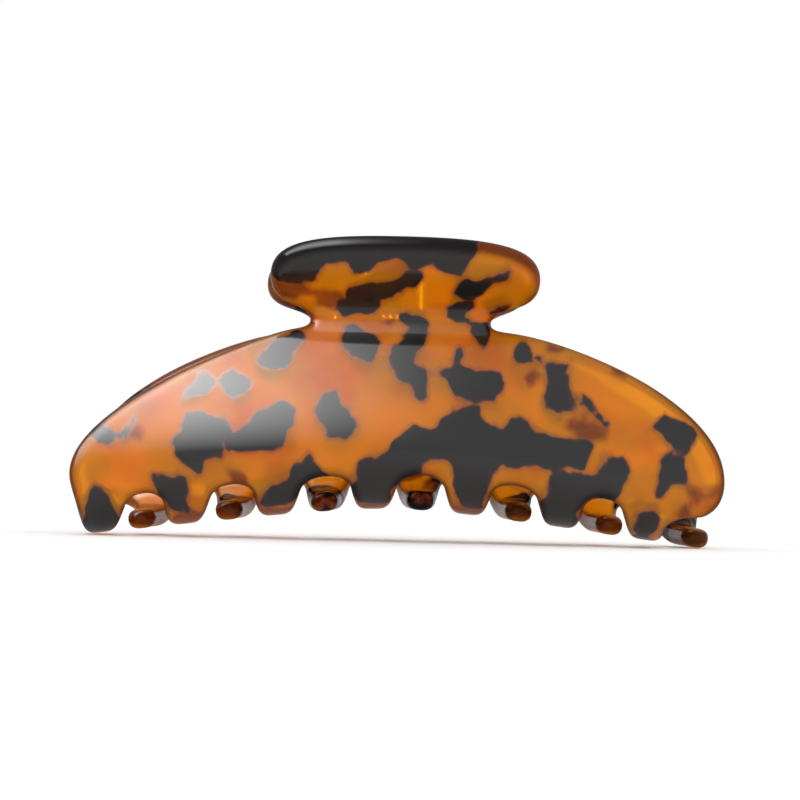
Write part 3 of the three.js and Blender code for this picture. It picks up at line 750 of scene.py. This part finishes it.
def steel(name, streak):
    """Bright drawn steel: fine lines along the wire and a little staining."""
    material, shader = node_tree(name)
    g = Graph(material)
    mapping = g.node("ShaderNodeMapping")
    g.link(g.attribute("along", "Vector"), mapping.inputs["Vector"])
    mapping.inputs["Scale"].default_value = streak
    lines = g.noise(mapping.outputs["Vector"], 1.0, 4.0, 0.65)
    stain = g.noise(g.attribute("along", "Vector"), 0.5, 3.0, 0.6)
    bright = g.mix(g.remap(stain, 0.35, 0.7), STEEL_BRIGHT, STEEL_STAIN)
    worn = g.mix(g.remap(lines, 0.3, 0.7), bright, STEEL_LINE)
    g.link(worn, shader.inputs["Base Color"])
    g.link(g.remap(lines, 0.3, 0.7, *STEEL_ROUGH, smooth=False), shader.inputs["Roughness"])
    g.link(g.bump(lines, 0.3, 0.00003), shader.inputs["Normal"])
    shader.inputs["Metallic"].default_value = 1.0
    return material


# ------------------------------------------------------------ hinge pieces
BAR_ROUND = 0.35
MERGE = 1e-6
FLAT_ANGLE = math.radians(1.0)
CREASE_ANGLE = math.radians(35)
SHARP_ANGLE = math.radians(30)
BAR_SHIFT = (40, 90, 0)  # keeps the bars' clouds apart from the sheets'


def rounded_copy(node, name, width):
    """A CAD node's shape with its creases rounded over."""
    source = bpy.data.objects[node]
    mesh = source.data.copy()
    mesh.name = name
    mesh.materials.clear()
    obj = bpy.data.objects.new(name, mesh)
    bpy.context.collection.objects.link(obj)
    work = bmesh.new()
    work.from_mesh(mesh)
    bmesh.ops.remove_doubles(work, verts=work.verts, dist=MERGE)
    bmesh.ops.dissolve_limit(work, angle_limit=FLAT_ANGLE, verts=work.verts, edges=work.edges)
    creases = [
        e for e in work.edges if len(e.link_faces) == 2 and e.calc_face_angle(0) > CREASE_ANGLE
    ]
    bmesh.ops.bevel(
        work, geom=creases, offset=width * MM, segments=3, profile=0.5, affect="EDGES",
        clamp_overlap=True,
    )
    bmesh.ops.triangulate(work, faces=work.faces)
    work.to_mesh(mesh)
    work.free()
    mesh.shade_smooth()
    mesh.set_sharp_from_angle(angle=SHARP_ANGLE)
    points = np.array([v.co for v in mesh.vertices]) / MM
    vector_attribute(obj, "sheet", points + BAR_SHIFT)
    float_attribute(obj, "rim", np.zeros(len(points)))
    return obj


def solid_of_revolution(name, profile, sides):
    """A solid about the pin's axis from (x, radius) points, poles at both ends."""
    rings = profile[1:-1]
    points = [(profile[0][0], 0, 0), (profile[-1][0], 0, 0)]
    for x, radius in rings:
        for k in range(sides):
            a = 2 * math.pi * k / sides
            points.append((x, radius * math.cos(a), radius * math.sin(a)))
    faces = []
    for k in range(sides):
        n = (k + 1) % sides
        faces.append((0, 2 + k, 2 + n))
        last = 2 + (len(rings) - 1) * sides
        faces.append((1, last + n, last + k))
        for r in range(len(rings) - 1):
            a, b = 2 + r * sides, 2 + (r + 1) * sides
            faces.append((a + k, a + n, b + n, b + k))
    obj = mesh_object(name, np.array(points) + (0, 0, HINGE_Z), faces)
    vector_attribute(obj, "along", points)
    return obj


PIN = 1.0
PIN_HEAD = 1.68
PIN_END = 11.05
PIN_HEAD_THICK = 0.7
PIN_HEAD_RIM = 0.14  # thickness of the head's rim, below its dome
PIN_HEAD_EASE = 0.12
PIN_DOME = 0.6  # under 1 makes the dome fuller than a half-round
PIN_SIDES = 48


def pin_profile():
    """The pin's profile, one end mirrored onto the other: shank and domed head."""
    half = [(PIN_END, PIN), (PIN_END, PIN_HEAD - PIN_HEAD_EASE)]
    dome = np.linspace(0, math.pi / 2, 9)[:-1]
    for a in dome:
        x = PIN_END + PIN_HEAD_RIM + (PIN_HEAD_THICK - PIN_HEAD_RIM) * math.sin(a)
        half.append((x, PIN_HEAD * math.cos(a) ** PIN_DOME))
    half.append((PIN_END + PIN_HEAD_THICK, 0))
    shank = [(x, PIN) for x in np.linspace(0, PIN_END - 0.3, 12)]
    right = shank + half
    return [(-x, r) for x, r in reversed(right)][:-1] + right


WIRE = 0.45
COIL = 1.75
COIL_TURNS = 6
COIL_HALF = 3.78
LEG = 11.5
LEG_LEAN = math.radians(35)
BEND = 0.9
FOOT = 2.4
FOOT_LEAN = 0.22
COIL_STEPS = 40  # points in each turn
LEG_STEPS = 14
BEND_STEPS = 8
FOOT_STEPS = 3
WIRE_SIDES = 16


def spring_path():
    """Foot, leg, coils, leg, foot, as one line of points about the pin axis."""

    def coil(t):
        turn = math.pi + LEG_LEAN + t * (math.pi * (2 * COIL_TURNS + 1) - 2 * LEG_LEAN)
        x = -COIL_HALF + t * COIL_HALF * 2
        return Vector((x, COIL * math.cos(turn), COIL * math.sin(turn)))

    def leg(start, side):
        way = Vector((0, side * math.sin(LEG_LEAN), math.cos(LEG_LEAN)))
        out = Vector(
            (side, side * FOOT_LEAN * math.cos(LEG_LEAN), -FOOT_LEAN * math.sin(LEG_LEAN))
        ).normalized()
        knee = start + way * LEG
        before, after = knee - way * BEND, knee + out * BEND
        line = [start.lerp(before, k / LEG_STEPS) for k in range(LEG_STEPS + 1)]
        for k in range(1, BEND_STEPS + 1):
            t = k / BEND_STEPS
            line.append(before.lerp(knee, t).lerp(knee.lerp(after, t), t))
        foot = knee + out * FOOT
        line += [after.lerp(foot, k / FOOT_STEPS) for k in range(1, FOOT_STEPS + 1)]
        return line

    steps = COIL_TURNS * COIL_STEPS
    coils = [coil(k / steps) for k in range(1, steps)]
    return leg(coil(0), -1)[::-1] + coils + leg(coil(1), 1)


def wire_mesh(name, path, radius, sides):
    """A round wire along a path, with rounded ends."""
    points, along = [], []
    travelled = 0.0
    up = Vector((0, 0, 1))
    rings = []
    caps = (0.0, 0.35, 0.65, 0.87, 1.0)
    first = (path[1] - path[0]).normalized()
    last = (path[-1] - path[-2]).normalized()
    # the rings of each rounded end, from its tip to the full radius
    for k in caps[:-1]:
        rings.append((path[0] - first * radius * (1 - k) * 0.9, radius * math.sqrt(k * (2 - k))))
    rings += [(p, radius) for p in path]
    for k in caps[-2::-1]:
        rings.append((path[-1] + last * radius * (1 - k) * 0.9, radius * math.sqrt(k * (2 - k))))
    for i, (centre, size) in enumerate(rings):
        before = rings[max(i - 1, 0)][0]
        after = rings[min(i + 1, len(rings) - 1)][0]
        way = (after - before).normalized()
        side = way.cross(up)
        if side.length < 0.2:
            side = way.cross(Vector((1, 0, 0)))
        side.normalize()
        up = side.cross(way).normalized()
        travelled += (centre - before).length
        for k in range(sides):
            a = 2 * math.pi * k / sides
            points.append(centre + (side * math.cos(a) + up * math.sin(a)) * max(size, 0.02))
            along.append((travelled, math.cos(a) * radius, math.sin(a) * radius))
    faces = []
    for i in range(len(rings) - 1):
        for k in range(sides):
            n = (k + 1) % sides
            faces.append(
                (i * sides + k, i * sides + n, (i + 1) * sides + n, (i + 1) * sides + k)
            )
    end = (len(rings) - 1) * sides
    faces.append(tuple(range(sides))[::-1])
    faces.append(tuple(end + k for k in range(sides)))
    lifted = np.array([tuple(p) for p in points]) + (0, 0, HINGE_Z)
    obj = mesh_object(name, lifted, faces)
    vector_attribute(obj, "along", along)
    return obj


# ------------------------------------------------------------------ build
# Tooth tips of the rear half that are dark or brown, as (x, radius).
REAR_TIPS = [(12.4, 3.0), (-4.1, 3.2), (-54.0, 2.2)]
REAR_BROWN_TIPS = [(43.8, 3.2), (28.8, 3.2), (-21.1, 3.2), (-51.0, 3.4)]
TIP_PLACE = -4.2  # height of the tooth tips in the pattern
TIP_STRETCH = 1.3
REAR_SHIFT = 260.0


def blots(places):
    """Round patches over tooth tips."""
    turns = [2 * math.pi * k / 8 for k in range(8)]
    return [
        [(x + r * math.cos(a), TIP_PLACE + TIP_STRETCH * r * math.sin(a)) for a in turns]
        for x, r in places
    ]


rear_dark = scattered(11, 46) + blots(REAR_TIPS)
rear_veil = scattered(5, 16) + blots(REAR_BROWN_TIPS)
front = bent_half("front_shell", False, DARK, VEILS_AND_TOOTH_SHADE, 0.0)
rear = bent_half("rear_shell", True, rear_dark, rear_veil, REAR_SHIFT)
shell = acetate("tortoiseshell")
for obj, body, node in ((front, "front_half", "front_jaw"), (rear, "rear_half", "rear_jaw")):
    obj.data.materials.append(shell)
    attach(obj, body)
    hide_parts(node)

plain_acetate = acetate("amber_hinge_acetate", patterned=False)
for side in ("front", "rear"):
    bar = rounded_copy(side + "_hinge_bar", side + "_hinge_block", BAR_ROUND)
    bar.data.materials.append(plain_acetate)
    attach(bar, side + "_half")
    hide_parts(side + "_hinge_bar")

pin = solid_of_revolution("pin_with_heads", pin_profile(), PIN_SIDES)
pin.data.materials.append(steel("drawn_steel_pin", (0.15, 9.0, 9.0)))
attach(pin, "front_half")
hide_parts("hinge_pin")

spring = wire_mesh("wound_spring", spring_path(), WIRE, WIRE_SIDES)
spring.data.materials.append(steel("drawn_steel_wire", (0.12, 7.0, 7.0)))
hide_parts("torsion_spring")
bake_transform(spring)

# ------------------------------------------------------------------ studio
FLOOR_SIZE = 6  # metres
FLOOR_WHITE = 0.9
FLOOR_GLOW = 0.16


def floor():
    bpy.ops.mesh.primitive_plane_add(size=FLOOR_SIZE, location=(0, 0, 0))
    obj = bpy.context.object
    obj.name = "floor"
    material, shader = node_tree("pale_floor")
    shader.inputs["Base Color"].default_value = (FLOOR_WHITE, FLOOR_WHITE, FLOOR_WHITE, 1)
    shader.inputs["Roughness"].default_value = 1.0
    shader.inputs["Specular IOR Level"].default_value = 0.0
    shader.inputs["Emission Color"].default_value = (1, 1, 1, 1)
    shader.inputs["Emission Strength"].default_value = FLOOR_GLOW
    obj.data.materials.append(material)


# The softbox is a length of cylinder over the clip's left, about the X axis.
BOX_RADIUS = 360
BOX_X = (-620, 32)
BOX_TURN = (9, 104)  # degrees up from the front
BOX_FADE = 110  # how far in from its right end it reaches full strength
BOX_EDGE = 42  # degrees over which its long sides fade
BOX_GLOW = 22.0
BOX_HEIGHT = 20
BOX_COLUMNS, BOX_ROWS = 60, 24


def softbox():
    """Seen only by glossy rays: it shows in reflections and lights nothing."""
    xs = np.linspace(BOX_X[0], BOX_X[1], BOX_COLUMNS + 1)
    turns = np.linspace(BOX_TURN[0], BOX_TURN[1], BOX_ROWS + 1)
    points, glow = [], []
    for turn in turns:
        a = math.radians(turn)
        edge = min(turn - BOX_TURN[0], BOX_TURN[1] - turn) / BOX_EDGE
        for x in xs:
            points.append((x, -BOX_RADIUS * math.cos(a), BOX_HEIGHT + BOX_RADIUS * math.sin(a)))
            fade = min((BOX_X[1] - x) / BOX_FADE, 1)
            glow.append(min(edge, 1) * fade**2)
    wide = BOX_COLUMNS + 1
    faces = [
        (r * wide + c, r * wide + c + 1, (r + 1) * wide + c + 1, (r + 1) * wide + c)
        for r in range(BOX_ROWS)
        for c in range(BOX_COLUMNS)
    ]
    mesh = bpy.data.meshes.new("softbox")
    mesh.from_pydata([tuple(v * MM for v in p) for p in points], [], faces)
    obj = bpy.data.objects.new("softbox", mesh)
    bpy.context.collection.objects.link(obj)
    float_attribute(obj, "glow", glow)
    material = bpy.data.materials.new("softbox")
    material.use_nodes = True
    g = Graph(material)
    g.tree.nodes.clear()
    output = g.node("ShaderNodeOutputMaterial")
    emission = g.node("ShaderNodeEmission")
    clear = g.node("ShaderNodeBsdfTransparent")
    both = g.node("ShaderNodeAddShader")
    g.link(g.math("MULTIPLY", g.attribute("glow"), BOX_GLOW), emission.inputs["Strength"])
    g.link(emission.outputs[0], both.inputs[0])
    g.link(clear.outputs[0], both.inputs[1])
    g.link(both.outputs[0], output.inputs["Surface"])
    mesh.materials.append(material)
    obj.visible_camera = False
    obj.visible_diffuse = False
    obj.visible_transmission = False
    obj.visible_shadow = False


def world():
    """Even white light from all round."""
    made = bpy.data.worlds.new("studio")
    bpy.context.scene.world = made
    made.use_nodes = True
    tree = made.node_tree
    tree.nodes.clear()
    output = tree.nodes.new("ShaderNodeOutputWorld")
    background = tree.nodes.new("ShaderNodeBackground")
    background.inputs["Color"].default_value = (1, 1, 1, 1)
    background.inputs["Strength"].default_value = 1.0
    tree.links.new(background.outputs[0], output.inputs["Surface"])


floor()
softbox()
world()

# ------------------------------------------------------------------ camera
CAMERA_AT = (-8.0, -530.0, 10.6)
CAMERA_AIM = (0.0, -18.0, 24.04)
CAMERA_ROLL = 1.42
FOCAL = 137.1

camera_data = bpy.data.cameras.new("camera")
camera_data.lens = FOCAL
camera_data.sensor_width = 36
camera_data.clip_start = 0.01
camera = bpy.data.objects.new("camera", camera_data)
bpy.context.collection.objects.link(camera)
camera.location = Vector(CAMERA_AT) * MM
look = (Vector(CAMERA_AIM) - Vector(CAMERA_AT)).to_track_quat("-Z", "Y").to_matrix().to_4x4()
camera.matrix_world = (
    Matrix.Translation(Vector(CAMERA_AT) * MM)
    @ look
    @ Matrix.Rotation(math.radians(CAMERA_ROLL), 4, "Z")
)
bpy.context.scene.camera = camera
bpy.context.scene.view_settings.view_transform = "Standard"
